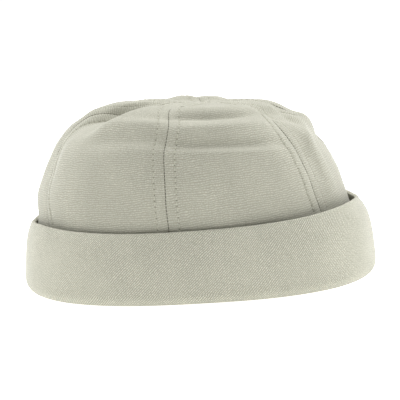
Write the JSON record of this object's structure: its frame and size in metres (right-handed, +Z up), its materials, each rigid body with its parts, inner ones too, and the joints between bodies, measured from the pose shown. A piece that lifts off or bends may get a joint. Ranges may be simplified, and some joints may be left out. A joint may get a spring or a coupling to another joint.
{
  "type": "docker cap",
  "caption": "Brimless soft cotton cap with a rounded panelled crown and a deep turned-up cuff, open underneath for the head.",
  "frame": {"origin": "middle of the cap's plan, on the surface that the fold of the cuff rests on", "axes": "+X along the cap's longer side, +Y across it, away from the side with the two whole seams in view, +Z up"},
  "size_m": [0.208, 0.193, 0.1038],
  "materials": {
    "cotton_twill": "matt woven cotton twill, pale sage grey, unprinted"
  },
  "bodies": {
    "root": {"crown_panel_1": "cotton_twill", "crown_panel_2": "cotton_twill", "crown_panel_3": "cotton_twill", "crown_panel_4": "cotton_twill", "crown_panel_5": "cotton_twill", "crown_panel_6": "cotton_twill", "cuff": "cotton_twill"}
  },
  "joints": []
}
